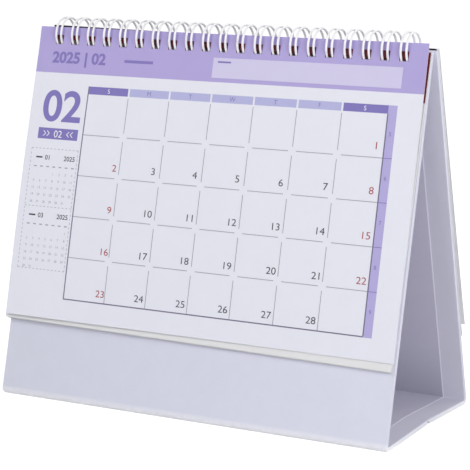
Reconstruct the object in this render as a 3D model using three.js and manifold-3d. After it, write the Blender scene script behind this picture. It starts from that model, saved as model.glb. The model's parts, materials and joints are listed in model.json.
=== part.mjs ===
// A desk calendar that stands like a tent: a folded board easel, monthly leaves hung from its top
// on a row of twin wire loops, and the leaves already used turned over behind it.
// Millimetres, +Z up, the front faces -Y, and the origin is on the table under the whole's middle.
import * as THREE from 'three';
import { mergeVertices } from 'three/addons/utils/BufferGeometryUtils.js';
import Module from 'manifold-3d';

// Leaves
const leafWidth = 190.5;
const leafHeight = 131;
const leafThickness = 0.25;
const holeSize = 4.2;
const holeTop = 3.6;

// Easel: one board as wide as the leaves, scored and folded into front panel, raised base and
// back panel
const standWidth = leafWidth;
const standHeight = 160;
const baseDepth = 87.2;
const topDepth = 6.4;
const boardThickness = 2;
const foldRadius = 2.6;
const foldSteps = 6;
const baseRise = 1.6;
const creaseWidth = 3.2;
const creaseDepth = 1.5;

// Lining sheet pasted inside the easel
const liningMargin = 10;
const liningTop = 14;
const liningThickness = 0.2;
const pasteGap = 0.1;

// Row of punched holes and the wire in them: as many as the leaves' width takes
const loopPitch = 25.4 / 3;
const rowMargin = 9;
const loopCount = Math.floor((leafWidth - 2 * rowMargin) / loopPitch) + 1;
const wireDiameter = 1;
const loopRadius = 7.5;
const twinSpacing = 2.6;
const loopGapAngle = 12;
const tipReach = 0.8;
const arcSteps = 12;
const wireSides = 6;
const loopAxisY = -0.8;
const loopAxisZ = 159.9;
const standHoleTop = 4.4;

// Front leaf: how much steeper than the panel it hangs, its clearance from the pile, and how the
// sheet swells off the pile at its left
const frontTilt = 0.57;
const frontClearance = 1.487;
const frontRise = 2.28;
const frontSwell = 1.5;
const cornerLift = 2;
const flatTop = 10;

// Leaves still to come, lying behind the front leaf as one pile that steps down behind it
const pileCount = 10;
const pilePitch = 0.19;
const pileGap = 0.15;
const pileRoll = 0.3;
const pileHoleHeight = 5.2;
const pileFrontRise = 0.67;
const pileStep = 0.16;

// Leaves turned over to the back: how much further out than the panel they lean, and how the
// outer one hangs askew, higher and further out at its left end
const innerTilt = 0.25;
const innerClearance = 1.67;
const innerRise = -1.65;
const innerRoll = 0;
const outerTilt = 3.48;
const outerClearance = 0.9;
const outerRise = 0.25;
const outerRoll = 0.69;
const outerYaw = -0.15;

const radians = THREE.MathUtils.degToRad;
const wasm = await Module();
wasm.setup();

const boardWhite = { color: 0xe4e4ec, roughness: 0.62, metalness: 0 };
const liningGrey = { color: 0xdedde6, roughness: 0.7, metalness: 0 };
const wireWhite = { color: 0xf1f0f4, roughness: 0.35, metalness: 0.2 };
const leafWhite = { color: 0xe3e4ee, roughness: 0.6, metalness: 0 };
const pileWhite = { color: 0xeaeaf0, roughness: 0.6, metalness: 0 };
const turnedWhite = { color: 0xdcdcdc, roughness: 0.6, metalness: 0 };

function piece(name, geometry, look) {
  const mesh = new THREE.Mesh(geometry, new THREE.MeshStandardMaterial(look));
  mesh.name = name;
  return mesh;
}

// Booleans on closed geometry
function solidOf(geometry) {
  const plain = geometry.clone();
  for (const name of Object.keys(plain.attributes)) {
    if (name !== 'position') plain.deleteAttribute(name);
  }
  const welded = mergeVertices(plain, 1e-5);
  return new wasm.Manifold(new wasm.Mesh({
    numProp: 3,
    vertProperties: new Float32Array(welded.attributes.position.array),
    triVerts: new Uint32Array(welded.index.array),
  }));
}

function geometryOf(solid) {
  const mesh = solid.getMesh();
  const geometry = new THREE.BufferGeometry();
  geometry.setAttribute('position', new THREE.BufferAttribute(mesh.vertProperties, 3));
  geometry.setIndex(new THREE.BufferAttribute(mesh.triVerts, 1));
  geometry.computeVertexNormals();
  return geometry;
}

function cutHoles(geometry, cutters) {
  let solid = solidOf(geometry);
  for (const cutter of cutters) {
    solid = solid.subtract(solidOf(cutter));
  }
  return geometryOf(solid);
}

// An outline in depth and height, drawn out over the width
function drawAcross(outline, width) {
  const shape = new THREE.Shape(outline);
  const geometry = new THREE.ExtrudeGeometry(shape, { depth: width, bevelEnabled: false });
  const depthAxis = new THREE.Vector3(0, 1, 0);
  const heightAxis = new THREE.Vector3(0, 0, 1);
  const widthAxis = new THREE.Vector3(1, 0, 0);
  geometry.applyMatrix4(new THREE.Matrix4().makeBasis(depthAxis, heightAxis, widthAxis));
  geometry.translate(-width / 2, 0, 0);
  return geometry;
}

// A line of points moved to its left by a distance, with mitred corners
function offsetLine(points, distance) {
  const normals = [];
  for (let i = 0; i < points.length - 1; i += 1) {
    const along = points[i + 1].clone().sub(points[i]).normalize();
    normals.push(new THREE.Vector2(-along.y, along.x));
  }
  return points.map((point, i) => {
    const before = normals[Math.max(i - 1, 0)];
    const after = normals[Math.min(i, normals.length - 1)];
    const middle = before.clone().add(after).normalize();
    return point.clone().addScaledVector(middle, distance / middle.dot(before));
  });
}

// An arc that takes the place of a corner
function roundedCorner(before, corner, after, radius) {
  const back = before.clone().sub(corner).normalize();
  const ahead = after.clone().sub(corner).normalize();
  const half = Math.acos(back.dot(ahead)) / 2;
  const inward = back.clone().add(ahead).normalize();
  const centre = corner.clone().addScaledVector(inward, radius / Math.sin(half));
  const start = corner.clone().addScaledVector(back, radius / Math.tan(half)).sub(centre);
  const turn = Math.PI - 2 * half;
  const points = [];
  for (let i = 0; i <= foldSteps; i += 1) {
    points.push(start.clone().rotateAround(new THREE.Vector2(), turn * i / foldSteps).add(centre));
  }
  return points;
}

// The easel's outer line, from the front panel's top edge under the base to the back panel's top
const frontTop = new THREE.Vector2(-topDepth / 2, standHeight);
const frontFold = new THREE.Vector2(-baseDepth / 2, 0);
const baseMiddle = new THREE.Vector2(0, baseRise);
const backFold = new THREE.Vector2(baseDepth / 2, 0);
const backTop = new THREE.Vector2(topDepth / 2, standHeight);
const outerLine = [frontTop, frontFold, baseMiddle, backFold, backTop];
const panelLean = Math.atan2(baseDepth / 2 - topDepth / 2, standHeight);

// How far the panels' outer faces and the leaves lie from the loops' axis
const panelNormal = new THREE.Vector2(-Math.cos(panelLean), Math.sin(panelLean));
const axisPoint = new THREE.Vector2(loopAxisY, loopAxisZ);
const frontPanelOffset = frontTop.clone().sub(axisPoint).dot(panelNormal);
const pileBack = frontPanelOffset + pileGap;
const frontOffset = pileBack + pileCount * pilePitch + frontClearance + leafThickness;
const innerOffset = frontPanelOffset + innerClearance + leafThickness / 2;
const outerOffset = innerOffset + outerClearance + leafThickness;

const holeCentres = Array.from({ length: loopCount }, (_, i) => (i - (loopCount - 1) / 2) * loopPitch);

function easelHoleCutters() {
  const reach = 3 * boardThickness;
  const cutters = [];
  for (const [top, side] of [[frontTop, -1], [backTop, 1]]) {
    const drop = standHoleTop + holeSize / 2;
    for (const x of holeCentres) {
      const cutter = new THREE.BoxGeometry(holeSize, reach, holeSize);
      cutter.translate(0, -side * boardThickness / 2, -drop);
      cutter.rotateX(side * panelLean);
      cutter.translate(x, top.x, top.y);
      cutters.push(cutter);
    }
  }
  return cutters;
}

function buildEasel() {
  const underside = [
    ...roundedCorner(frontTop, frontFold, baseMiddle, foldRadius),
    new THREE.Vector2(-creaseWidth / 2, baseRise * (1 - creaseWidth / baseDepth)),
    new THREE.Vector2(0, baseRise + creaseDepth),
    new THREE.Vector2(creaseWidth / 2, baseRise * (1 - creaseWidth / baseDepth)),
    ...roundedCorner(baseMiddle, backFold, backTop, foldRadius),
  ];
  const inside = offsetLine(outerLine, boardThickness).reverse();
  const outline = [frontTop, ...underside, backTop, ...inside];
  return cutHoles(drawAcross(outline, standWidth), easelHoleCutters());
}

function buildLining() {
  const share = liningTop * Math.cos(panelLean) / standHeight;
  const trimmed = outerLine.slice();
  trimmed[0] = frontTop.clone().lerp(frontFold, share);
  trimmed[4] = backTop.clone().lerp(backFold, share);
  const pasted = offsetLine(trimmed, boardThickness + pasteGap);
  const open = offsetLine(trimmed, boardThickness + pasteGap + liningThickness).reverse();
  return drawAcross([...pasted, ...open], standWidth - 2 * liningMargin);
}

// The wire: one length bent to and fro into twin loops, closed with its tips beside its back row
function loopPoint(x, degrees) {
  const angle = radians(degrees);
  const y = loopAxisY + loopRadius * Math.cos(angle);
  const z = loopAxisZ + loopRadius * Math.sin(angle);
  return new THREE.Vector3(x, y, z);
}

function wireLine() {
  const start = -90 + loopGapAngle / 2;
  const sweep = 360 - loopGapAngle;
  const reachAngle = THREE.MathUtils.radToDeg(tipReach / loopRadius);
  const points = [];
  for (const x of holeCentres) {
    for (let i = 0; i <= arcSteps; i += 1) {
      points.push(loopPoint(x - twinSpacing / 2, start + sweep * i / arcSteps));
    }
    points.push(loopPoint(x - twinSpacing / 4, start + sweep + reachAngle));
    points.push(loopPoint(x + twinSpacing / 4, start + sweep + reachAngle));
    for (let i = arcSteps; i >= 0; i -= 1) {
      points.push(loopPoint(x + twinSpacing / 2, start + sweep * i / arcSteps));
    }
  }
  return points;
}

// A round rod along a line of points, with its section turned as little as it can
function rodAlong(points, radius, sides) {
  const tangents = points.map((point, i) => {
    const ahead = points[Math.min(i + 1, points.length - 1)].clone().sub(point).normalize();
    const behind = point.clone().sub(points[Math.max(i - 1, 0)]).normalize();
    return ahead.add(behind).normalize();
  });
  let across = new THREE.Vector3(1, 0, 0);
  const positions = [];
  points.forEach((point, i) => {
    across = across.clone().addScaledVector(tangents[i], -across.dot(tangents[i])).normalize();
    const other = tangents[i].clone().cross(across);
    for (let side = 0; side < sides; side += 1) {
      const angle = 2 * Math.PI * side / sides;
      const corner = point.clone().addScaledVector(across, radius * Math.cos(angle));
      corner.addScaledVector(other, radius * Math.sin(angle));
      positions.push(corner.x, corner.y, corner.z);
    }
  });
  const indices = [];
  for (let i = 0; i < points.length - 1; i += 1) {
    for (let side = 0; side < sides; side += 1) {
      const next = (side + 1) % sides;
      const a = i * sides + side;
      const b = i * sides + next;
      indices.push(a, b, b + sides);
      indices.push(a, b + sides, a + sides);
    }
  }
  const last = (points.length - 1) * sides;
  for (let side = 1; side < sides - 1; side += 1) {
    indices.push(0, side + 1, side);
    indices.push(last, last + side, last + side + 1);
  }
  const geometry = new THREE.BufferGeometry();
  geometry.setAttribute('position', new THREE.Float32BufferAttribute(positions, 3));
  geometry.setIndex(indices);
  return geometry;
}

// Blocks that punch the hole row through sheets, at a distance and a drop from the loops' axis
function holePunches(offset, drop, depth, height) {
  return holeCentres.map((x) => {
    const punch = new THREE.BoxGeometry(holeSize, depth, height);
    punch.translate(x, offset, -drop);
    return punch;
  });
}

// A flat leaf with its hole row, at its distance behind the loops' axis
function flatLeaf(offset, rise) {
  const sheet = new THREE.BoxGeometry(leafWidth, leafThickness, leafHeight);
  sheet.translate(0, offset, rise - leafHeight / 2);
  const drop = holeTop + holeSize / 2 - rise;
  return cutHoles(sheet, holePunches(offset, drop, 4 * leafThickness, holeSize));
}

// How far the front leaf's face stands forward of its plane, at u across and v down the sheet
function swellAt(u, v) {
  const down = Math.max(0, (v - flatTop) / (leafHeight - flatTop));
  const left = (leafWidth / 2 - u) / leafWidth;
  return left * frontSwell * Math.sin(Math.PI * down) + cornerLift * (left * down) ** 2;
}

// The front leaf: a grid over the sheet, with the hole row's cells left open
function buildFrontLeaf() {
  const across = [-leafWidth / 2];
  for (const x of holeCentres) {
    across.push(x - holeSize / 2, x + holeSize / 2);
  }
  across.push(leafWidth / 2);
  const down = [0, holeTop, holeTop + holeSize, 22, 44, 66, 88, 110, leafHeight];
  const columns = across.length;
  const positions = [];
  for (const back of [0, leafThickness]) {
    for (const v of down) {
      for (const u of across) {
        positions.push(u, back - frontOffset - swellAt(u, v), frontRise - v);
      }
    }
  }
  const layer = down.length * columns;
  const indices = [];
  const quad = (a, b, c, d) => indices.push(a, b, c, a, c, d);
  const solidCell = (i, j) => {
    const inside = i >= 0 && i < columns - 1 && j >= 0 && j < down.length - 1;
    return inside && !(j === 1 && i % 2 === 1);
  };
  for (let j = 0; j < down.length - 1; j += 1) {
    for (let i = 0; i < columns - 1; i += 1) {
      if (!solidCell(i, j)) continue;
      const a = j * columns + i;
      const b = a + 1;
      const c = a + columns + 1;
      const d = a + columns;
      quad(a, d, c, b);
      quad(a + layer, b + layer, c + layer, d + layer);
      if (!solidCell(i, j - 1)) quad(a, b, b + layer, a + layer);
      if (!solidCell(i, j + 1)) quad(c, d, d + layer, c + layer);
      if (!solidCell(i - 1, j)) quad(d, a, a + layer, d + layer);
      if (!solidCell(i + 1, j)) quad(b, c, c + layer, b + layer);
    }
  }
  const geometry = new THREE.BufferGeometry();
  geometry.setAttribute('position', new THREE.Float32BufferAttribute(positions, 3));
  geometry.setIndex(indices);
  return geometry;
}

// The pile: the leaves' edges step down towards the easel, as they hang on the round loops
function buildPile() {
  const front = [];
  const rear = [];
  for (let k = 0; k < pileCount; k += 1) {
    const near = -(pileBack + (pileCount - k) * pilePitch);
    const far = near + pilePitch;
    const rise = pileFrontRise - k * pileStep;
    front.push(new THREE.Vector2(near, rise), new THREE.Vector2(far, rise));
    rear.push(new THREE.Vector2(near, rise - leafHeight), new THREE.Vector2(far, rise - leafHeight));
  }
  const outline = [...rear, ...front.reverse()];
  const middle = -(pileBack + pileCount * pilePitch / 2);
  const drop = Math.sqrt(loopRadius ** 2 - middle ** 2);
  const punches = holePunches(middle, drop, 3 * pileCount * pilePitch, pileHoleHeight);
  return cutHoles(drawAcross(outline, leafWidth), punches);
}

// Leaves hang from the loops' axis: each is turned about it to its lean, rolled in its plane, and
// may stand off further at one end
function hang(mesh, lean, roll, yaw) {
  const pivot = new THREE.Group();
  pivot.position.set(0, loopAxisY, loopAxisZ);
  pivot.rotation.x = lean;
  mesh.rotation.set(0, radians(roll), radians(yaw));
  pivot.add(mesh);
  return pivot;
}

const calendar = new THREE.Group();
calendar.add(piece('easel_stand', buildEasel(), boardWhite));
calendar.add(piece('easel_lining', buildLining(), liningGrey));
calendar.add(piece('wire_binding', rodAlong(wireLine(), wireDiameter / 2, wireSides), wireWhite));

const frontLeaf = piece('front_leaf', buildFrontLeaf(), leafWhite);
calendar.add(hang(frontLeaf, radians(frontTilt) - panelLean, 0, 0));
const pile = piece('leaf_pile', buildPile(), pileWhite);
calendar.add(hang(pile, -panelLean, pileRoll, 0));
const innerLeaf = piece('turned_leaf_inner', flatLeaf(innerOffset, innerRise), turnedWhite);
calendar.add(hang(innerLeaf, panelLean + radians(innerTilt), innerRoll, 0));
const outerLeaf = piece('turned_leaf_outer', flatLeaf(outerOffset, outerRise), turnedWhite);
calendar.add(hang(outerLeaf, panelLean + radians(outerTilt), outerRoll, outerYaw));

// The origin is on the table, under the middle of the whole
const extent = new THREE.Box3().setFromObject(calendar, true);
const middle = extent.getCenter(new THREE.Vector3());
calendar.position.set(-middle.x, -middle.y, -extent.min.z);

export default calendar;
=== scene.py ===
import json
import math
import random

import bmesh
import bpy
from mathutils import Matrix, Vector


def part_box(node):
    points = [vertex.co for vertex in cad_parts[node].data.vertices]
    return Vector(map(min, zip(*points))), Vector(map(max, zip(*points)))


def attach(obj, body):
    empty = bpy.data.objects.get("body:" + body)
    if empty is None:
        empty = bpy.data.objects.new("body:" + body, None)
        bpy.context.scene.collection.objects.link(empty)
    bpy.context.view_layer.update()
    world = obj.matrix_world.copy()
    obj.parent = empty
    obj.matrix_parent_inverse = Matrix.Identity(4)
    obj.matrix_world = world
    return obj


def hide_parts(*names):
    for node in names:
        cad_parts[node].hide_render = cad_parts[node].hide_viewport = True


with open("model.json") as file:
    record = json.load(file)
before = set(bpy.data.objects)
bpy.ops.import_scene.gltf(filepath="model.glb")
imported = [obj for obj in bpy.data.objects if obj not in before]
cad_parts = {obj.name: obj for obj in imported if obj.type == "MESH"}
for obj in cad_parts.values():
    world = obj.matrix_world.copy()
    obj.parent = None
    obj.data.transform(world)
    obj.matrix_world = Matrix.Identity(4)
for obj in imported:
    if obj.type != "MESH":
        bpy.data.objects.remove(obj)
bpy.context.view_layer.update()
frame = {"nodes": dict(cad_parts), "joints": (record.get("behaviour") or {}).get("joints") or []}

MM = 0.001

# Table and light
# The calendar stands on a white table in a white room. Three broad soft lamps light it, from the
# upper left, the right and behind, and the camera looks down a little from the front right.


def colour_of(red, green, blue):
    """A colour for a material, from its values on a screen."""
    linear = []
    for value in (red, green, blue):
        share = value / 255
        linear.append(share / 12.92 if share <= 0.04045 else ((share + 0.055) / 1.055) ** 2.4)
    return (*linear, 1)


def add_node(tree, kind, inputs=None, **settings):
    """A node with its settings, and with its inputs set or linked."""
    node = tree.nodes.new(kind)
    for name, value in settings.items():
        setattr(node, name, value)
    for name, value in (inputs or {}).items():
        if isinstance(value, bpy.types.NodeSocket):
            tree.links.new(value, node.inputs[name])
        else:
            node.inputs[name].default_value = value
    return node


def new_material(name):
    """A material with an empty Principled shader, and its tree and shader."""
    material = bpy.data.materials.new(name)
    material.use_nodes = True
    tree = material.node_tree
    return material, tree, tree.nodes["Principled BSDF"]


def soft_lamp(name, place, size, power):
    """A square white lamp that looks at the middle of the calendar."""
    lamp = bpy.data.lights.new(name, "AREA")
    lamp.shape = "SQUARE"
    lamp.size = size
    lamp.energy = power
    lamp_object = bpy.data.objects.new(name, lamp)
    lamp_object.location = place
    lamp_object.rotation_euler = (lamp_target - Vector(place)).to_track_quat("-Z", "Y").to_euler()
    scene.collection.objects.link(lamp_object)


scene = bpy.context.scene
scene.view_settings.view_transform = "Standard"

stand_low, stand_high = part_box("easel_stand")
stand_middle = (stand_low + stand_high) / 2
hinge = Vector(frame["joints"][0]["pos_m"])
loops_axis = Vector((stand_middle.x, hinge.y, hinge.z))

camera_offset = Vector((0.400082, -0.720642, 0.070368))
camera_dip = 10.68
camera_turn = 28.92
camera_data = bpy.data.cameras.new("camera")
camera_data.sensor_width = 36
camera_data.lens = 145.64
camera_data.clip_start = 0.05
camera = bpy.data.objects.new("camera", camera_data)
camera.location = loops_axis + camera_offset
camera.rotation_euler = (math.radians(90 - camera_dip), 0, math.radians(camera_turn))
scene.collection.objects.link(camera)
scene.camera = camera

lamp_target = Vector((0, 0, 0.08))
soft_lamp("key_lamp", (-0.5, -0.75, 0.85), 0.5, 3.95)
soft_lamp("fill_lamp", (0.9, -0.45, 0.4), 0.6, 4.5)
soft_lamp("back_lamp", (0.5, 0.9, 0.7), 0.6, 2.5)

# The room looks white to the camera and in reflections, and lights the calendar less strongly
room_light = 0.4
world = bpy.data.worlds.new("white_room")
world.use_nodes = True
world_tree = world.node_tree
room = world_tree.nodes["Background"]
room_rays = add_node(world_tree, "ShaderNodeLightPath")
room_seen = add_node(
    world_tree,
    "ShaderNodeMath",
    {0: room_rays.outputs["Is Camera Ray"], 1: room_rays.outputs["Is Glossy Ray"]},
    operation="MAXIMUM",
)
room_seen = add_node(
    world_tree,
    "ShaderNodeMath",
    {0: room_seen.outputs[0], 1: room_rays.outputs["Is Transmission Ray"]},
    operation="MAXIMUM",
)
room_level = add_node(
    world_tree,
    "ShaderNodeMapRange",
    {"Value": room_seen.outputs[0], "To Min": room_light, "To Max": 1.0},
)
room.inputs["Color"].default_value = (1, 1, 1, 1)
world_tree.links.new(room_level.outputs["Result"], room.inputs["Strength"])
scene.world = world

table_half = 3
table_glow_strength = 0.6
table_mesh = bpy.data.meshes.new("table_top")
table_mesh.from_pydata(
    [(x * table_half, y * table_half, 0) for x, y in ((-1, -1), (1, -1), (1, 1), (-1, 1))],
    [],
    [(0, 1, 2, 3)],
)
table_top = bpy.data.objects.new("table_top", table_mesh)
scene.collection.objects.link(table_top)
table_white, table_tree, table_shader = new_material("table_white")
table_rays = add_node(table_tree, "ShaderNodeLightPath")
table_glow = add_node(
    table_tree,
    "ShaderNodeMath",
    {0: table_rays.outputs["Is Camera Ray"], 1: table_glow_strength},
    operation="MULTIPLY",
)
table_shader.inputs["Base Color"].default_value = colour_of(246, 246, 248)
table_shader.inputs["Roughness"].default_value = 0.8
table_shader.inputs["Emission Color"].default_value = (1, 1, 1, 1)
table_tree.links.new(table_glow.outputs[0], table_shader.inputs["Emission Strength"])
table_mesh.materials.append(table_white)

# Easel
# One grey board, scored and folded into a front panel, a raised base in two halves and a back
# panel. White paper with a faint lilac cast is wrapped round it, and holes are punched at the top.


def paper_fibre_group():
    """Paper close up: clouds where the pulp lies thicker, short fibres across them, and fine tooth."""
    group = bpy.data.node_groups.new("paper_fibres", "ShaderNodeTree")
    face = group.interface
    face.new_socket("Colour", in_out="INPUT", socket_type="NodeSocketColor")
    face.new_socket("Cloud", in_out="INPUT", socket_type="NodeSocketFloat")
    face.new_socket("Fleck", in_out="INPUT", socket_type="NodeSocketFloat")
    face.new_socket("Roughness", in_out="INPUT", socket_type="NodeSocketFloat")
    face.new_socket("Colour", in_out="OUTPUT", socket_type="NodeSocketColor")
    face.new_socket("Roughness", in_out="OUTPUT", socket_type="NodeSocketFloat")
    face.new_socket("Height", in_out="OUTPUT", socket_type="NodeSocketFloat")
    entry = add_node(group, "NodeGroupInput")
    leaving = add_node(group, "NodeGroupOutput")
    place = add_node(group, "ShaderNodeTexCoord").outputs["Object"]
    cloud = add_node(group, "ShaderNodeTexNoise", {"Vector": place, "Scale": 140, "Detail": 3})
    stretched = add_node(group, "ShaderNodeMapping", {"Vector": place, "Scale": (1, 1, 3.5)})
    fibre = add_node(
        group,
        "ShaderNodeTexNoise",
        {"Vector": stretched.outputs["Vector"], "Scale": 900, "Detail": 4, "Distortion": 1.2},
    )
    tooth = add_node(group, "ShaderNodeTexNoise", {"Vector": place, "Scale": 3800, "Detail": 2})
    cloud_tone = add_node(
        group,
        "ShaderNodeMath",
        {0: cloud.outputs[0], 1: entry.outputs["Cloud"]},
        operation="MULTIPLY",
    )
    fleck_tone = add_node(
        group,
        "ShaderNodeMath",
        {0: fibre.outputs[0], 1: entry.outputs["Fleck"]},
        operation="MULTIPLY",
    )
    both = add_node(
        group,
        "ShaderNodeMath",
        {0: cloud_tone.outputs[0], 1: fleck_tone.outputs[0]},
        operation="ADD",
    )
    level = add_node(group, "ShaderNodeMath", {0: 1.0, 1: both.outputs[0]}, operation="SUBTRACT")
    toned = add_node(
        group,
        "ShaderNodeVectorMath",
        {0: entry.outputs["Colour"], "Scale": level.outputs[0]},
        operation="SCALE",
    )
    rough_change = add_node(
        group,
        "ShaderNodeMapRange",
        {"Value": fibre.outputs[0], "From Min": 0.3, "From Max": 0.7, "To Min": -0.06, "To Max": 0.06},
    )
    rough = add_node(
        group,
        "ShaderNodeMath",
        {0: entry.outputs["Roughness"], 1: rough_change.outputs["Result"]},
        operation="ADD",
    )
    height = add_node(
        group,
        "ShaderNodeMath",
        {0: fibre.outputs[0], 1: tooth.outputs[0]},
        operation="ADD",
    )
    group.links.new(toned.outputs[0], leaving.inputs["Colour"])
    group.links.new(rough.outputs[0], leaving.inputs["Roughness"])
    group.links.new(height.outputs[0], leaving.inputs["Height"])
    return group


def handling_group():
    """A worn fold that also carries painted bounce light: a mask near a height, made uneven by noise, off
    the faces that look up.
    """
    group = bpy.data.node_groups.new("worn_lit_fold", "ShaderNodeTree")
    face = group.interface
    face.new_socket("Height", in_out="INPUT", socket_type="NodeSocketFloat")
    face.new_socket("Reach", in_out="INPUT", socket_type="NodeSocketFloat")
    face.new_socket("Mask", in_out="OUTPUT", socket_type="NodeSocketFloat")
    entry = add_node(group, "NodeGroupInput")
    leaving = add_node(group, "NodeGroupOutput")
    place = add_node(group, "ShaderNodeTexCoord").outputs["Object"]
    parts = add_node(group, "ShaderNodeSeparateXYZ", {0: place})
    away = add_node(
        group,
        "ShaderNodeMath",
        {0: parts.outputs["Z"], 1: entry.outputs["Height"]},
        operation="SUBTRACT",
    )
    away = add_node(group, "ShaderNodeMath", {0: away.outputs[0]}, operation="ABSOLUTE")
    near = add_node(
        group,
        "ShaderNodeMapRange",
        {"Value": away.outputs[0], "From Max": entry.outputs["Reach"], "To Min": 1, "To Max": 0},
    )
    spots = add_node(group, "ShaderNodeTexNoise", {"Vector": place, "Scale": 420, "Detail": 5})
    spots = add_node(
        group,
        "ShaderNodeMapRange",
        {"Value": spots.outputs[0], "From Min": -0.5, "From Max": 0.62},
    )
    facing = add_node(group, "ShaderNodeNewGeometry").outputs["Normal"]
    facing = add_node(group, "ShaderNodeSeparateXYZ", {0: facing})
    outside = add_node(group, "ShaderNodeMath", {0: facing.outputs["Z"], 1: 0.5}, operation="LESS_THAN")
    mask = add_node(
        group,
        "ShaderNodeMath",
        {0: near.outputs["Result"], 1: spots.outputs["Result"]},
        operation="MULTIPLY",
    )
    mask = add_node(
        group,
        "ShaderNodeMath",
        {0: mask.outputs[0], 1: outside.outputs[0]},
        operation="MULTIPLY",
    )
    group.links.new(mask.outputs[0], leaving.inputs["Mask"])
    return group


paper_fibres = paper_fibre_group()
worn_lit_fold = handling_group()


def blend_colour(tree, mask, under, over):
    """The colour of a link, with a fixed colour laid over it by a mask."""
    blend = add_node(tree, "ShaderNodeMix", data_type="RGBA")
    factor, lower, upper = blend.inputs[0], blend.inputs[6], blend.inputs[7]
    tree.links.new(mask, factor)
    tree.links.new(under, lower)
    upper.default_value = over
    return blend.outputs[2]


def paper_material(name, colour, roughness, cloud, fleck, bump, worn_and_lit=None):
    """Matt paper; the last argument gives the height, reach and colour of a worn fold or edge, whose light
    colour is also a painted highlight for light bounced up from the table.
    """
    material, tree, shader = new_material(name)
    fibres = add_node(tree, "ShaderNodeGroup", node_tree=paper_fibres)
    fibres.inputs["Colour"].default_value = colour
    fibres.inputs["Cloud"].default_value = cloud
    fibres.inputs["Fleck"].default_value = fleck
    fibres.inputs["Roughness"].default_value = roughness
    surface_colour = fibres.outputs["Colour"]
    # A worn fold, whitened further as painted bounce light
    if worn_and_lit:
        rubbed = add_node(tree, "ShaderNodeGroup", node_tree=worn_lit_fold)
        rubbed.inputs["Height"].default_value = worn_and_lit[0]
        rubbed.inputs["Reach"].default_value = worn_and_lit[1]
        surface_colour = blend_colour(tree, rubbed.outputs["Mask"], surface_colour, worn_and_lit[2])
    tooth = add_node(tree, "ShaderNodeBump", {"Strength": 0.35, "Distance": bump})
    tree.links.new(fibres.outputs["Height"], tooth.inputs["Height"])
    tree.links.new(surface_colour, shader.inputs["Base Color"])
    tree.links.new(fibres.outputs["Roughness"], shader.inputs["Roughness"])
    tree.links.new(tooth.outputs["Normal"], shader.inputs["Normal"])
    shader.inputs["Specular IOR Level"].default_value = 0.35
    return material


def finish_piece(name, mesh_work, materials, body, smooth_angle=None, replaced=None):
    """Turns mesh work into a named piece that rides a body and takes its finish from a slot."""
    mesh = bpy.data.meshes.new(name)
    mesh_work.to_mesh(mesh)
    mesh_work.free()
    for material in materials:
        mesh.materials.append(material)
    piece = bpy.data.objects.new(name, mesh)
    scene.collection.objects.link(piece)
    if smooth_angle is not None:
        mesh.shade_smooth()
        mesh.set_sharp_from_angle(angle=math.radians(smooth_angle))
    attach(piece, body)
    if replaced:
        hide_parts(replaced)
    return piece


def rounded_corner(before, corner, after, radius, steps):
    """An arc in place of a corner of an outline."""
    back = (before - corner).normalized()
    ahead = (after - corner).normalized()
    half = back.angle(ahead) / 2
    centre = corner + (back + ahead).normalized() * (radius / math.sin(half))
    start = corner + back * (radius / math.tan(half)) - centre
    turn = math.pi - 2 * half
    if back.cross(ahead) < 0:
        turn = -turn
    points = []
    for step in range(steps + 1):
        angle = -turn * step / steps
        cos, sin = math.cos(angle), math.sin(angle)
        turned = Vector((start.x * cos - start.y * sin, start.x * sin + start.y * cos))
        points.append(turned + centre)
    return points


def offset_line(points, distance):
    """A line of points moved to its left by a distance, with mitred corners."""
    normals = []
    for first, second in zip(points, points[1:]):
        along = (second - first).normalized()
        normals.append(Vector((-along.y, along.x)))
    moved = []
    for index, point in enumerate(points):
        before = normals[max(index - 1, 0)]
        after = normals[min(index, len(normals) - 1)]
        middle = (before + after).normalized()
        moved.append(point + middle * (distance / middle.dot(before)))
    return moved


def applied_mesh(work):
    """The mesh of an object with its modifiers applied, and the object taken away."""
    graph = bpy.context.evaluated_depsgraph_get()
    result = bpy.data.meshes.new_from_object(work.evaluated_get(graph))
    bpy.data.objects.remove(work)
    return result


stand_height = 160 * MM
base_depth = 87.2 * MM
top_depth = 6.4 * MM
board_thickness = 2 * MM
fold_radius = 2.6 * MM
fold_steps = 10
inner_fold_radius = 0.5 * MM
inner_fold_steps = 4
base_rise = 1.6 * MM
crease_width = 3.2 * MM
crease_depth = 1.5 * MM
crease_tip = crease_width / 12
edge_round = 0.4 * MM
stand_hole_top = 4.4 * MM
hole_size = 4.2 * MM
loop_count = 21
loop_pitch = 25.4 / 3 * MM
hole_places = [(index - (loop_count - 1) / 2) * loop_pitch for index in range(loop_count)]

# The loops' axis lies 0.8 mm in front of the easel's middle and 0.1 mm below its top
stand_y = loops_axis.y + 0.8 * MM
stand_top_z = loops_axis.z + 0.1 * MM
stand_z = stand_top_z - stand_height

front_top = Vector((-top_depth / 2, stand_height))
front_fold = Vector((-base_depth / 2, 0))
base_middle = Vector((0, base_rise))
back_fold = Vector((base_depth / 2, 0))
back_top = Vector((top_depth / 2, stand_height))
panel_lean = math.atan2(base_depth / 2 - top_depth / 2, stand_height)

# How far the panels' faces lie from the loops' axis
axis_point = Vector((loops_axis.y - stand_y, loops_axis.z - stand_z))
panel_distance = (front_top - axis_point).dot(Vector((-math.cos(panel_lean), math.sin(panel_lean))))

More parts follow.
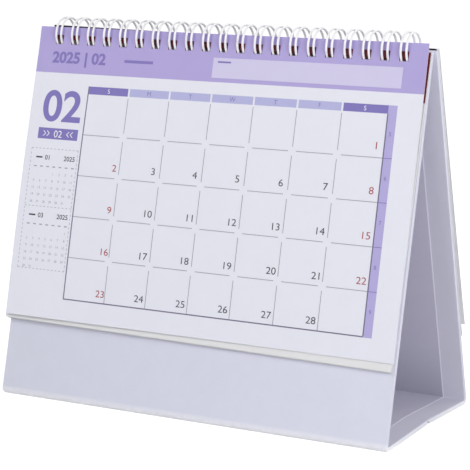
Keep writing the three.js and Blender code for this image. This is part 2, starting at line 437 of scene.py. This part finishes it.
inner_line = offset_line([front_top, front_fold, base_middle, back_fold, back_top], board_thickness)
crease_side = base_rise * (1 - crease_width / base_depth)
crease_top = base_rise + 0.94 * crease_depth
easel_outline = [
    front_top,
    *rounded_corner(front_top, front_fold, base_middle, fold_radius, fold_steps),
    Vector((-crease_width / 2, crease_side)),
    Vector((-crease_tip, crease_top)),
    Vector((crease_tip, crease_top)),
    Vector((crease_width / 2, crease_side)),
    *rounded_corner(base_middle, back_fold, back_top, fold_radius, fold_steps),
    back_top,
    inner_line[4],
    *rounded_corner(inner_line[4], inner_line[3], inner_line[2], inner_fold_radius, inner_fold_steps),
    inner_line[2],
    *rounded_corner(inner_line[2], inner_line[1], inner_line[0], inner_fold_radius, inner_fold_steps),
    inner_line[0],
]

easel_work = bmesh.new()
left_ring = []
right_ring = []
for point in easel_outline:
    y = point.x + stand_y
    z = point.y + stand_z
    left_ring.append(easel_work.verts.new((stand_low.x, y, z)))
    right_ring.append(easel_work.verts.new((stand_high.x, y, z)))
easel_work.faces.new(left_ring)
easel_work.faces.new(list(reversed(right_ring)))
for index in range(len(easel_outline)):
    following = (index + 1) % len(easel_outline)
    easel_work.faces.new(
        (left_ring[following], left_ring[index], right_ring[index], right_ring[following])
    )
bmesh.ops.recalc_face_normals(easel_work, faces=easel_work.faces)
easel_mesh = bpy.data.meshes.new("easel_body")
easel_work.to_mesh(easel_mesh)
easel_work.free()
easel_body = bpy.data.objects.new("easel_body", easel_mesh)
scene.collection.objects.link(easel_body)
rounding = easel_body.modifiers.new("wrapped_edges", "BEVEL")
rounding.limit_method = "ANGLE"
rounding.angle_limit = math.radians(40)
rounding.width = edge_round
rounding.segments = 3

punch_work = bmesh.new()
for side, top in ((-1, front_top), (1, back_top)):
    for x in hole_places:
        punch = bmesh.ops.create_cube(punch_work, size=1)["verts"]
        drop = stand_hole_top + hole_size / 2
        shape = Matrix.Diagonal((hole_size, 3 * board_thickness, hole_size, 1))
        local = Matrix.Translation((0, -side * board_thickness / 2, -drop))
        turn = Matrix.Rotation(side * panel_lean, 4, "X")
        spot = Matrix.Translation((stand_middle.x + x, top.x + stand_y, top.y + stand_z))
        bmesh.ops.transform(punch_work, matrix=spot @ turn @ local @ shape, verts=punch)
punch_mesh = bpy.data.meshes.new("easel_punches")
punch_work.to_mesh(punch_mesh)
punch_work.free()
punches = bpy.data.objects.new("easel_punches", punch_mesh)
scene.collection.objects.link(punches)
punching = easel_body.modifiers.new("punched_holes", "BOOLEAN")
punching.object = punches
punching.operation = "DIFFERENCE"
punching.solver = "EXACT"
bpy.context.view_layer.update()
easel_mesh = applied_mesh(easel_body)
bpy.data.objects.remove(punches)

# The fold at the foot of the easel is whitened: wear, and a painted highlight for light bounced up from the
# table onto its underside
lit_fold_reach = 4.2 * MM
worn_lit_fold_finish = (0.0, lit_fold_reach, colour_of(255, 255, 255))
board_paper = paper_material(
    "board_paper", colour_of(222, 223, 238), 0.55, 0.05, 0.04, 0.02 * MM, worn_lit_fold_finish
)
# A darker copy of the board paper, painted shade for the inside of the tent
inside_shade_paper = paper_material("inside_shade_paper", colour_of(217, 216, 231), 0.6, 0.05, 0.05, 0.02 * MM)

# The faces that look into the tent, and the top of the base, take a darker paper: painted shade for the
# shade inside the tent
easel_work = bmesh.new()
easel_work.from_mesh(easel_mesh)
for face in easel_work.faces:
    face.normal_update()
    middle = face.calc_center_median()
    looks_inward = face.normal.y * (middle.y - stand_y) < -0.5 * abs(middle.y - stand_y)
    base_top = face.normal.z > 0.5 and middle.z < 0.1 * stand_height
    if looks_inward or base_top:
        face.material_index = 1
finish_piece(
    "easel_board", easel_work, [board_paper, inside_shade_paper], "easel", 35, "easel_stand"
)

# Lining
# A sheet of matt paper pasted inside the easel, trimmed short of its edges. Its cut ends carry a
# fine painted highlight down each panel, its panels darken towards the folds as painted shade, and
# it stands up in a thin ridge where it is folded at the base, painted near white as a highlight.


def rod_along(work, points, radius, sides):
    """A round closed rod along a line of points."""
    across = Vector((1, 0, 0))
    rings = []
    for index, point in enumerate(points):
        ahead = (points[min(index + 1, len(points) - 1)] - point).normalized()
        behind = (point - points[max(index - 1, 0)]).normalized()
        along = (ahead + behind).normalized()
        across = (across - along * across.dot(along)).normalized()
        other = along.cross(across)
        ring = []
        for side in range(sides):
            angle = 2 * math.pi * side / sides
            reach = across * radius * math.cos(angle) + other * radius * math.sin(angle)
            ring.append(work.verts.new(point + reach))
        rings.append(ring)
    for first, second in zip(rings, rings[1:]):
        for side in range(sides):
            following = (side + 1) % sides
            work.faces.new((first[side], first[following], second[following], second[side]))
    work.faces.new(list(reversed(rings[0])))
    work.faces.new(rings[-1])


def lining_material():
    """Lining paper, with a painted highlight along its cut ends and painted shade on the panels close to
    the folds.
    """
    material = paper_material("lining_paper", colour_of(214, 212, 228), 0.68, 0.05, 0.05, 0.03 * MM)
    tree = material.node_tree
    shader = tree.nodes["Principled BSDF"]
    paper = shader.inputs["Base Color"].links[0].from_socket
    place = add_node(tree, "ShaderNodeTexCoord").outputs["Object"]
    parts = add_node(tree, "ShaderNodeSeparateXYZ", {0: place})
    facing = add_node(tree, "ShaderNodeNewGeometry").outputs["Normal"]
    facing = add_node(tree, "ShaderNodeSeparateXYZ", {0: facing})
    level = add_node(tree, "ShaderNodeMath", {0: facing.outputs["Z"]}, operation="ABSOLUTE")
    upright = add_node(tree, "ShaderNodeMath", {0: level.outputs[0], 1: 0.6}, operation="LESS_THAN")
    low = add_node(
        tree,
        "ShaderNodeMapRange",
        {
            "Value": parts.outputs["Z"],
            "From Min": shade_bottom,
            "From Max": shade_top,
            "To Min": 1,
            "To Max": 0,
        },
    )
    crease_shade = add_node(
        tree,
        "ShaderNodeMath",
        {0: upright.outputs[0], 1: low.outputs[0]},
        operation="MULTIPLY",
    )
    # Painted shade: the upright panels darken towards the folds, where the crease lies in shade
    paper = blend_colour(tree, crease_shade.outputs[0], paper, colour_of(186, 184, 200))
    # Painted highlight: the lining's cut ends catch the light as a fine light line, stronger on the panels
    centred = add_node(
        tree,
        "ShaderNodeMath",
        {0: parts.outputs["X"], 1: lining_middle},
        operation="SUBTRACT",
    )
    aside = add_node(tree, "ShaderNodeMath", {0: centred.outputs[0]}, operation="ABSOLUTE")
    end = add_node(
        tree,
        "ShaderNodeMath",
        {0: aside.outputs[0], 1: lining_half - lit_end_width},
        operation="GREATER_THAN",
    )
    share = add_node(
        tree,
        "ShaderNodeMapRange",
        {"Value": upright.outputs[0], "To Min": 0.3, "To Max": 0.9},
    )
    end = add_node(tree, "ShaderNodeMath", {0: end.outputs[0], 1: share.outputs[0]}, operation="MULTIPLY")
    paper = blend_colour(tree, end.outputs[0], paper, colour_of(238, 237, 248))
    tree.links.new(paper, shader.inputs["Base Color"])
    return material


lining_low, lining_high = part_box("easel_lining")
lining_middle = (lining_low.x + lining_high.x) / 2
lining_half = (lining_high.x - lining_low.x) / 2
lining_depth = board_thickness + 0.3 * MM
lit_end_width = 0.4 * MM
shade_bottom = 2 * MM
shade_top = 26 * MM
ridge_sides = 12
ridge_radius = 0.75 * MM
ridge_depth = lining_depth + 0.6 * ridge_radius

lining_paper = lining_material()
# The ridge is painted near white, a painted highlight where its top catches the light
ridge_highlight_paper = paper_material("ridge_highlight_paper", colour_of(252, 251, 255), 0.68, 0.05, 0.05, 0.03 * MM)
lining = frame["nodes"]["easel_lining"]
lining.data.materials.clear()
lining.data.materials.append(lining_paper)

folds = [front_top, front_fold, base_middle, back_fold, back_top]
for name, fold in (("front", 1), ("back", 3)):
    inner_fold = offset_line(folds, ridge_depth)[fold]
    y = inner_fold.x + stand_y
    z = inner_fold.y + stand_z
    ridge_line = [Vector((lining_middle + side * lining_half, y, z)) for side in (-1, -0.5, 0, 0.5, 1)]
    ridge_work = bmesh.new()
    rod_along(ridge_work, ridge_line, ridge_radius, ridge_sides)
    bmesh.ops.recalc_face_normals(ridge_work, faces=ridge_work.faces)
    finish_piece("lining_ridge_" + name, ridge_work, [ridge_highlight_paper], "easel", 40)

# Wire binding
# One steel wire with a white coat, bent to and fro into 21 twin loops and closed round the leaves
# and the easel. It is round, and its bends are tight where one loop passes to the next.

wire_radius = 0.5 * MM
loop_radius = 7.5 * MM
twin_spacing = 2.6 * MM
loop_gap_angle = 12
tip_reach = 0.8 * MM
arc_steps = 40
wire_sides = 12


def loop_point(x, degrees):
    """A point of the wire's middle line, at x and turned about the loops' axis."""
    angle = math.radians(degrees)
    return loops_axis + Vector((x, loop_radius * math.cos(angle), loop_radius * math.sin(angle)))


wire_line = []
start_angle = -90 + loop_gap_angle / 2
sweep_angle = 360 - loop_gap_angle
tip_angle = math.degrees(tip_reach / loop_radius)
tip_shares = (-0.42, -0.25, 0, 0.25, 0.42)
for x in hole_places:
    for step in range(arc_steps + 1):
        wire_line.append(loop_point(x - twin_spacing / 2, start_angle + sweep_angle * step / arc_steps))
    for share in tip_shares:
        bow = math.sqrt(1 - (2 * share) ** 2)
        wire_line.append(loop_point(x + twin_spacing * share, start_angle + sweep_angle + tip_angle * bow))
    for step in range(arc_steps, -1, -1):
        wire_line.append(loop_point(x + twin_spacing / 2, start_angle + sweep_angle * step / arc_steps))


def wire_coat_material():
    """White nylon coat: smooth and satin, with faint ripples and rubbed spots."""
    material, tree, shader = new_material("wire_coat")
    place = add_node(tree, "ShaderNodeTexCoord").outputs["Object"]
    ripple = add_node(tree, "ShaderNodeTexNoise", {"Vector": place, "Scale": 700, "Detail": 3})
    scuff = add_node(tree, "ShaderNodeTexNoise", {"Vector": place, "Scale": 260, "Detail": 6})
    scuffed = add_node(
        tree,
        "ShaderNodeMapRange",
        {"Value": scuff.outputs[0], "From Min": 0.56, "From Max": 0.7, "To Min": 0, "To Max": 0.5},
    )
    tone = add_node(tree, "ShaderNodeValToRGB", {"Fac": scuffed.outputs["Result"]})
    tone.color_ramp.elements[0].color = colour_of(247, 246, 249)
    tone.color_ramp.elements[1].color = colour_of(205, 204, 212)
    rough = add_node(
        tree,
        "ShaderNodeMapRange",
        {"Value": ripple.outputs[0], "To Min": 0.22, "To Max": 0.4},
    )
    bump = add_node(
        tree,
        "ShaderNodeBump",
        {"Height": ripple.outputs[0], "Strength": 0.2, "Distance": 0.02 * MM},
    )
    tree.links.new(tone.outputs["Color"], shader.inputs["Base Color"])
    tree.links.new(rough.outputs["Result"], shader.inputs["Roughness"])
    tree.links.new(bump.outputs["Normal"], shader.inputs["Normal"])
    shader.inputs["Coat Weight"].default_value = 0.3
    shader.inputs["Coat Roughness"].default_value = 0.15
    return material


wire_work = bmesh.new()
rod_along(wire_work, wire_line, wire_radius, wire_sides)
bmesh.ops.recalc_face_normals(wire_work, faces=wire_work.faces)
finish_piece("wire_loops", wire_work, [wire_coat_material()], "easel", 60, "wire_binding")

# Front leaf
# A sheet of coated card with 21 square holes, hung on the loops. It bows off the pile towards its
# left edge, and its lower left corner lifts.

leaf_width = 190.5 * MM
leaf_height = 131 * MM
leaf_thickness = 0.25 * MM
hole_top = 3.6 * MM
band_depth = 20.85 * MM
front_tilt = math.radians(0.57)
front_lean = panel_lean - front_tilt
front_stand_off = 3.787 * MM
front_face = -panel_distance - front_stand_off
front_rise = 2.28 * MM
front_swell = 1.5 * MM
corner_lift = 2 * MM
flat_top = 10 * MM
grid_step = 5 * MM


def swell_at(u, v):
    """How far the front leaf's face stands forward, at u across and v down."""
    down = max(0, (v - flat_top) / (leaf_height - flat_top))
    left = (leaf_width / 2 - u) / leaf_width
    return left * front_swell * math.sin(math.pi * down) + corner_lift * (left * down) ** 2


def hung_leaf(lean, roll, yaw, face, rise, swell=None):
    """Where a point of a leaf lies, from its place across, down and into the sheet."""
    turned = Matrix.Translation(loops_axis) @ Matrix.Rotation(lean, 4, "X")
    turned = turned @ Matrix.Rotation(roll, 4, "Y") @ Matrix.Rotation(yaw, 4, "Z")

    def place(u, v, depth):
        forward = swell(u, v) if swell else 0
        return turned @ Vector((u, face - forward + depth, rise - v))

    return place


def lines_between(start, end, step):
    """Even lines from start to end, at most a step apart."""
    count = max(1, math.ceil((end - start) / step - 1e-6))
    return [start + (end - start) * index / count for index in range(count + 1)]


def sheet_work(place, thickness, width, bare_end=None):
    """A sheet with its hole row. The printed side's top band, which may leave a bare end at the
    right, takes the second material, and the band's cut edges take the third."""
    across = lines_between(-width / 2, hole_places[0] - hole_size / 2, grid_step)
    holes = []
    for index, x in enumerate(hole_places):
        holes.append(len(across) - 1)
        across.append(x + hole_size / 2)
        if index < loop_count - 1:
            across.append(hole_places[index + 1] - hole_size / 2)
    across += lines_between(across[-1], width / 2 - (bare_end or 0), grid_step)[1:]
    if bare_end:
        across.append(width / 2)
    band_columns = len(across) - (2 if bare_end else 1)
    down = [0, hole_top, hole_top + hole_size]
    down += lines_between(hole_top + hole_size, band_depth, grid_step)[1:]
    down += lines_between(band_depth, leaf_height, grid_step)[1:]
    work = bmesh.new()
    layers = []
    for depth in (0, thickness):
        layers.append([[work.verts.new(place(u, v, depth)) for u in across] for v in down])
    front, back = layers

    def is_paper(row, column):
        inside = 0 <= row < len(down) - 1 and 0 <= column < len(across) - 1
        return inside and not (row == 1 and column in holes)

    for row in range(len(down) - 1):
        for column in range(len(across) - 1):
            if not is_paper(row, column):
                continue
            corners = [(row, column), (row + 1, column), (row + 1, column + 1), (row, column + 1)]
            printed = work.faces.new([front[r][c] for r, c in corners])
            in_band = down[row + 1] <= band_depth + 1e-6
            printed.material_index = 1 if in_band and column < band_columns else 0
            work.faces.new([back[r][c] for r, c in reversed(corners)])
            for (r, c), first, second in (
                ((row, column - 1), corners[0], corners[1]),
                ((row + 1, column), corners[1], corners[2]),
                ((row, column + 1), corners[2], corners[3]),
                ((row - 1, column), corners[3], corners[0]),
            ):
                if not is_paper(r, c):
                    (ra, ca), (rb, cb) = first, second
                    edge = work.faces.new((front[rb][cb], front[ra][ca], back[ra][ca], back[rb][cb]))
                    edge.material_index = 2 if in_band else 0
    return work


def ink_material(name, colour, strength=0.03):
    """Offset ink on coated card: a little gloss, and a fine mottle where the paper took it."""
    return paper_material(name, colour, 0.5, strength, strength, 0.01 * MM)


leaf_paper = paper_material("leaf_paper", colour_of(234, 235, 245), 0.55, 0.03, 0.03, 0.012 * MM)
rose_edge = paper_material("rose_edge", colour_of(240, 214, 226), 0.6, 0.04, 0.04, 0.012 * MM)
lilac_ink = ink_material("lilac_ink", colour_of(181, 169, 222), 0.05)
pale_lilac_ink = ink_material("pale_lilac_ink", colour_of(212, 206, 236))
violet_ink = ink_material("violet_ink", colour_of(130, 120, 190), 0.06)
soft_violet_ink = ink_material("soft_violet_ink", colour_of(132, 119, 188))
blue_lilac_ink = ink_material("blue_lilac_ink", colour_of(184, 184, 226), 0.04)
strip_ink = ink_material("strip_ink", colour_of(183, 174, 223), 0.04)
frame_ink = ink_material("frame_ink", colour_of(118, 112, 138))
line_ink = ink_material("line_ink", colour_of(158, 158, 170))
figure_ink = ink_material("figure_ink", colour_of(62, 60, 70))
red_ink = ink_material("red_ink", colour_of(168, 66, 74))
small_ink = ink_material("small_ink", colour_of(160, 158, 172))
white_ink = ink_material("white_ink", colour_of(244, 243, 250))

front_place = hung_leaf(-front_lean, 0, 0, front_face, front_rise, swell_at)
finish_piece(
    "front_leaf_sheet",
    sheet_work(front_place, leaf_thickness, leaf_width),
    [leaf_paper, lilac_ink, rose_edge],
    "front_leaf",
    None,
    "front_leaf",
)

# Print of a month's leaf
# Flat inks printed on the sheet: a band with a memo box, the month's number over a bar, two small
# calendars in a dashed frame, and the day grid with its weekday row and a narrow strip at its right.

ink_lift = 0.02 * MM
upper_ink_lift = 0.04 * MM
grid_left = -65.36 * MM
column_width = 20.82 * MM
grid_right = grid_left + 7 * column_width
weekday_top = 26.17 * MM
grid_top = 29.66 * MM
row_height = 18.32 * MM
grid_bottom = grid_top + 5 * row_height
strip_width = 3.99 * MM
line_width = 0.32 * MM
frame_width = 0.55 * MM
crossing_gap = 1.9 * MM
top_gap = 0.9 * MM
cell_inset = 0.45 * MM
initial_height = 1.9 * MM
initial_rise = 0.8 * MM
dash_length = 1.0 * MM
dash_gap = 0.9 * MM
dash_width = 0.22 * MM

figure_meshes = {}


def figure_shape(text, weight):
    """Points and faces of plain figures, one unit high, with their left edge and baseline at zero."""
    if (text, weight) not in figure_meshes:
        curve = bpy.data.curves.new("figures", "FONT")
        curve.body = text
        curve.resolution_u = 8
        curve.offset = weight
        holder = bpy.data.objects.new("figures", curve)
        scene.collection.objects.link(holder)
        bpy.context.view_layer.update()
        mesh = applied_mesh(holder)
        points = [vertex.co.copy() for vertex in mesh.vertices]
        faces = [tuple(face.vertices) for face in mesh.polygons]
        left = min(point.x for point in points)
        tall = max(point.y for point in points)
        points = [((point.x - left) / tall, point.y / tall) for point in points]
        wide = max(point[0] for point in points)
        bpy.data.meshes.remove(mesh)
        bpy.data.curves.remove(curve)
        figure_meshes[(text, weight)] = (points, faces, wide)
    return figure_meshes[(text, weight)]


def print_figures(work, place, text, u, v, height, align="left", lift=ink_lift, squeeze=1.0, weight=0.0):
    """Figures on a leaf, with their baseline at v; weight makes them bolder."""
    points, faces, wide = figure_shape(text, weight)
    shift = {"left": 0, "middle": -wide / 2, "right": -wide}[align]
    laid = []
    for x, y in points:
        laid.append(work.verts.new(place(u + (x + shift) * height * squeeze, v - y * height, -lift)))
    for face in faces:
        work.faces.new([laid[index] for index in face])


def print_field(work, place, left, top, right, bottom, lift=ink_lift):
    """A field of ink that follows the leaf's bow."""
    across = lines_between(left, right, grid_step)
    down = lines_between(top, bottom, grid_step)
    laid = [[work.verts.new(place(u, v, -lift)) for u in across] for v in down]
    for row in range(len(down) - 1):
        for column in range(len(across) - 1):
            work.faces.new(
                (
                    laid[row][column],
                    laid[row + 1][column],
                    laid[row + 1][column + 1],
                    laid[row][column + 1],
                )
            )


def print_stroke(work, place, start, end, width, lift=ink_lift):
    """A straight stroke of ink between two points of a leaf."""
    along = Vector(end) - Vector(start)
    side = Vector((-along.y, along.x)).normalized() * width / 2
    first, second = Vector(start), Vector(end)
    corners = [first - side, first + side, second + side, second - side]
    laid = [work.verts.new(place(corner.x, corner.y, -lift)) for corner in corners]
    work.faces.new(laid)


def print_dashes(work, place, start, end):
    """A dashed line of ink between two points of a leaf."""
    first, second = Vector(start), Vector(end)
    length = (second - first).length
    pitch = dash_length + dash_gap
    count = max(1, round((length + dash_gap) / pitch))
    for index in range(count):
        near = pitch * index / (count * pitch - dash_gap)
        far = (pitch * index + dash_length) / (count * pitch - dash_gap)
        print_stroke(work, place, first.lerp(second, near), first.lerp(second, far), dash_width)


def face_outward(work, place):
    """Turns the faces of print towards the reader."""
    outward = place(0, 0, -1) - place(0, 0, 0)
    for face in work.faces:
        face.normal_update()
        if face.normal.dot(outward) < 0:
            face.normal_flip()


def month_days(first_column, days):
    """The text of each day cell, by row and column; a sixth row shares the fifth row's cells."""
    cells = {}
    for day in range(1, days + 1):
        slot = first_column + day - 1
        row, column = divmod(slot, 7)
        if row == 5:
            cells[(4, column)] = cells[(4, column)] + "/" + str(day)
        else:
            cells[(row, column)] = str(day)
    return cells


def small_calendar(work, bold_work, place, top, number, first_column, days):
    """A neighbouring month in small figures: its number and year, weekday ticks and days."""
    left = -89.6 * MM
    right = -68.2 * MM
    pitch_u = 3.3 * MM
    pitch_v = 3.15 * MM
    bar_v = top + 4 * MM
    heading_v = top + 5 * MM
    tick_v = top + 8.1 * MM
    tick_half = 0.75 * MM
    print_stroke(bold_work, place, (left + 0.8 * MM, bar_v), (left + 4.2 * MM, bar_v), 0.7 * MM)
    for text, u, align in ((number, left + 5.6 * MM, "left"), ("2025", right, "right")):
        print_figures(bold_work, place, text, u, heading_v, 2.1 * MM, align, weight=0.012)
    for column in range(7):
        middle = left + 1.0 * MM + column * pitch_u
        print_stroke(work, place, (middle - tick_half, tick_v), (middle + tick_half, tick_v), 0.5 * MM)
    for day in range(1, days + 1):
        row, column = divmod(first_column + day - 1, 7)
        middle = left + 1.0 * MM + column * pitch_u
        base = top + 11.9 * MM + row * pitch_v
        print_figures(work, place, str(day), middle, base, 1.05 * MM, "middle")


def print_month(prefix, place, body, number, first_column, days, before, after, inks):
    """All the print of one month's leaf, one piece for each ink."""
    memo = bmesh.new()
    memo_left, memo_right = -4.1 * MM, 84.9 * MM
    memo_top, memo_bottom = 10.3 * MM, 19.05 * MM
    print_field(memo, place, memo_left, memo_top, memo_right, memo_bottom)

    header = bmesh.new()
    title = "2025 | " + number
    title_left, title_base, title_height = -87.2 * MM, 16.1 * MM, 5 * MM
    print_figures(header, place, title, title_left, title_base, title_height, squeeze=1.08, weight=0.035)
    word_left, word_right, word_v = -49 * MM, -34.2 * MM, 14.1 * MM
    print_stroke(header, place, (word_left, word_v), (word_right, word_v), 1.3 * MM)
    note_left, note_right, note_v = -1.8 * MM, 4.6 * MM, 12.1 * MM
    print_stroke(header, place, (note_left, note_v), (note_right, note_v), 0.75 * MM, upper_ink_lift)

    month = bmesh.new()
    number_left, number_base, number_height = -88.6 * MM, 42.6 * MM, 13.9 * MM
    print_figures(month, place, number, number_left, number_base, number_height, squeeze=1.07, weight=0.02)
    bar_left, bar_right = -89.4 * MM, -68.3 * MM
    bar_top, bar_bottom = 46 * MM, 51 * MM
    print_field(month, place, bar_left, bar_top, bar_right, bar_bottom)
    for column in (0, 6):
        left = grid_left + column * column_width + (cell_inset if column else 0)
        right = grid_left + (column + 1) * column_width - (0 if column else cell_inset)
        print_field(month, place, left, weekday_top, right, grid_top)

    weekdays = bmesh.new()
    for column in range(1, 6):
        left = grid_left + column * column_width + cell_inset
        right = left + column_width - 2 * cell_inset
        print_field(weekdays, place, left, weekday_top, right, grid_top)

    pale = bmesh.new()
    bar_middle, arrow_v = -78.8 * MM, 48.5 * MM
    print_figures(pale, place, number, bar_middle, 50.1 * MM, 3.1 * MM, "middle", upper_ink_lift)
    for side in (-1, 1):
        for step in (0, 1):
            tip = bar_middle + side * (4.6 + 1.9 * step) * MM
            tail = tip + side * 1.3 * MM
            for rise in (-1, 1):
                end = (tail, arrow_v + rise * 1.2 * MM)
                print_stroke(pale, place, (tip, arrow_v), end, 0.36 * MM, upper_ink_lift)

    initials = bmesh.new()
    initial_base = grid_top - initial_rise
    for column, letter in enumerate("SMTWTFS"):
        work = initials if 0 < column < 6 else pale
        middle = grid_left + (column + 0.5) * column_width
        print_figures(
            work, place, letter, middle, initial_base, initial_height, "middle", upper_ink_lift
        )

    strip = bmesh.new()
    strip_right = grid_right + strip_width
    print_field(strip, place, grid_right, weekday_top, strip_right, grid_bottom + frame_width)

    outline = bmesh.new()
    print_field(outline, place, grid_left - frame_width, weekday_top, grid_left, grid_bottom)
    print_field(outline, place, grid_left - frame_width, grid_bottom, grid_right, grid_bottom + frame_width)
    side_line = grid_right - frame_width / 2
    print_field(outline, place, side_line, grid_top, side_line + frame_width, grid_bottom, upper_ink_lift)

    rules = bmesh.new()
    for column in range(1, 7):
        u = grid_left + column * column_width
        for row in range(5):
            top = grid_top + row * row_height + (crossing_gap if row else top_gap)
            bottom = grid_top + (row + 1) * row_height - (crossing_gap if row < 4 else 0)
            print_field(rules, place, u - line_width / 2, top, u + line_width / 2, bottom)
    for row in range(1, 5):
        v = grid_top + row * row_height
        for column in range(7):
            left = grid_left + column * column_width + (crossing_gap if column else 0)
            right = grid_left + (column + 1) * column_width - (crossing_gap if column < 6 else 0)
            print_field(rules, place, left, v - line_width / 2, right, v + line_width / 2)

    days_dark = bmesh.new()
    days_red = bmesh.new()
    for (row, column), text in month_days(first_column, days).items():
        work = days_red if column in (0, 6) else days_dark
        u = grid_left + (column + 1) * column_width - (3.5 if column else 2.6) * MM
        v = grid_top + (row + 1) * row_height - 2.3 * MM - (4 - row) * 0.28 * MM
        height = 2.4 * MM if "/" in text else 3 * MM
        print_figures(work, place, text, u, v, height, "middle", squeeze=1.12)

    ticks = bmesh.new()
    week = 5 if prefix == "front_leaf" else 9
    strip_middle = grid_right + strip_width / 2
    for row in range(5):
        v = grid_top + (row + 0.5) * row_height
        print_figures(ticks, place, str(week + row), strip_middle, v, 1.7 * MM, "middle", upper_ink_lift)
        if row:
            edge = grid_top + row * row_height
            print_stroke(ticks, place, (grid_right, edge), (strip_right, edge), 0.3 * MM, upper_ink_lift)

    small = bmesh.new()
    bold = bmesh.new()
    box_left, box_right = -91.6 * MM, -66.9 * MM
    box_top, box_middle, box_bottom = 55.4 * MM, 81.5 * MM, 109.6 * MM
    for v in (box_top, box_middle, box_bottom):
        print_dashes(small, place, (box_left, v), (box_right, v))
    for u in (box_left, box_right):
        print_dashes(small, place, (u, box_top), (u, box_bottom))
    small_calendar(small, bold, place, box_top, *before)
    small_calendar(small, bold, place, box_middle, *after)

    for name, work, material in (
        ("memo_box", memo, inks["memo"]),
        ("heading", header, inks["heading"]),
        ("month_number", month, inks["strong"]),
        ("weekday_cells", weekdays, inks["weekday"]),
        ("bar_figures", pale, white_ink),
        ("weekday_initials", initials, inks["strong"]),
        ("side_strip", strip, inks["strip"]),
        ("grid_frame", outline, frame_ink),
        ("grid_lines", rules, line_ink),
        ("day_numbers", days_dark, figure_ink),
        ("weekend_numbers", days_red, red_ink),
        ("week_numbers", ticks, inks["strong"]),
        ("small_calendars", small, small_ink),
        ("small_headings", bold, figure_ink),
    ):
        face_outward(work, place)
        finish_piece(prefix + "_" + name, work, [material], body)


front_inks = {
    "memo": pale_lilac_ink,
    "heading": soft_violet_ink,
    "strong": violet_ink,
    "weekday": blue_lilac_ink,
    "strip": strip_ink,
}
print_month(
    "front_leaf", front_place, "front_leaf", "02", 6, 28, ("01", 3, 31), ("03", 6, 31), front_inks
)

# Pile of later leaves
# Ten sheets of the same card behind the front leaf. Each hangs a little lower than the one before
# it, they lie not quite true to each other, and the front ones bow forward as the front leaf does.
# The first is printed with its month in dark red.

pile_count = 10
pile_pitch = 0.19 * MM
pile_sheet = 0.165 * MM
pile_roll = math.radians(0.55)
pile_shift = 0.35 * MM
pile_front_rise = -0.3 * MM
pile_step = 0.052 * MM
pile_gap = 0.15 * MM
pile_trim = 0.4 * MM
first_bow = 0.5
bow_fall = 0.8
largest_sway = 0.03
largest_skew = 0.18
pile_back = panel_distance + pile_gap

pile_paper = paper_material("pile_paper", colour_of(231, 231, 232), 0.55, 0.03, 0.03, 0.012 * MM)
red_edge = paper_material("red_edge", colour_of(214, 120, 132), 0.6, 0.06, 0.06, 0.012 * MM)
dark_red_ink = ink_material("dark_red_ink", colour_of(112, 36, 44), 0.08)
pale_rose_ink = ink_material("pale_rose_ink", colour_of(222, 190, 194))
deep_rose_ink = ink_material("deep_rose_ink", colour_of(150, 66, 76))
rose_ink = ink_material("rose_ink", colour_of(206, 160, 166))
pile_inks = [
    dark_red_ink,
    ink_material("maroon_ink", colour_of(86, 34, 46), 0.08),
    ink_material("plum_ink", colour_of(96, 54, 88), 0.08),
    ink_material("navy_ink", colour_of(48, 42, 70), 0.06),
    ink_material("umber_ink", colour_of(74, 48, 52), 0.06),
]
sheet_luck = random.Random(21)
for index in range(pile_count):
    bow = first_bow * bow_fall**index
    face = -(pile_back + (pile_count - index) * pile_pitch)
    sway = sheet_luck.uniform(-largest_sway, largest_sway) if index else 0
    skew = sheet_luck.uniform(-largest_skew, largest_skew) * MM if index else 0
    rise = pile_front_rise - index * pile_step
    hang_place = hung_leaf(-panel_lean, pile_roll + math.radians(sway), 0, face, rise)

    def pile_place(u, v, depth, hang_place=hang_place, skew=skew, bow=bow):
        return hang_place(u + pile_shift + skew, v, depth - bow * swell_at(u, v))

    finish_piece(
        "pile_sheet_%02d" % (index + 1),
        sheet_work(pile_place, pile_sheet, leaf_width - pile_trim if index else leaf_width),
        [pile_paper, pile_inks[index % len(pile_inks)], pile_paper if index else red_edge],
        "easel",
        None,
        "leaf_pile" if index == 0 else None,
    )
    if index == 0:
        rose_inks = {
            "memo": pale_rose_ink,
            "heading": pale_rose_ink,
            "strong": dark_red_ink,
            "weekday": rose_ink,
            "strip": deep_rose_ink,
        }
        print_month(
            "next_leaf", pile_place, "easel", "03", 6, 31, ("02", 6, 28), ("04", 2, 30), rose_inks
        )

# Turned leaves
# The two leaves already used hang behind the back panel, face inwards. They fan out a little, so
# that both lower corners stand clear of the easel.

inner_gap = 1.67 * MM
inner_rise = -1.65 * MM
outer_gap = 0.9 * MM
outer_rise = 0.55 * MM
bare_end_width = 1.3 * MM
inner_tilt = math.radians(0.25)
outer_tilt = math.radians(3.48)
outer_roll = math.radians(0.88)
outer_yaw = math.radians(-0.15)

night_ink = ink_material("night_ink", colour_of(44, 36, 52), 0.08)
turned_paper = paper_material("turned_paper", colour_of(243, 243, 246), 0.58, 0.04, 0.03, 0.012 * MM)
inner_face = panel_distance + inner_gap
outer_face = inner_face + leaf_thickness + outer_gap
inner_place = hung_leaf(panel_lean + inner_tilt, 0, 0, inner_face, inner_rise)
outer_place = hung_leaf(panel_lean + outer_tilt, outer_roll, outer_yaw, outer_face, outer_rise)
for name, turned_place, node in (
    ("turned_sheet_inner", inner_place, "turned_leaf_inner"),
    ("turned_sheet_outer", outer_place, "turned_leaf_outer"),
):
    finish_piece(
        name,
        sheet_work(turned_place, leaf_thickness, leaf_width, bare_end_width),
        [turned_paper, night_ink, turned_paper],
        "easel",
        None,
        node,
    )
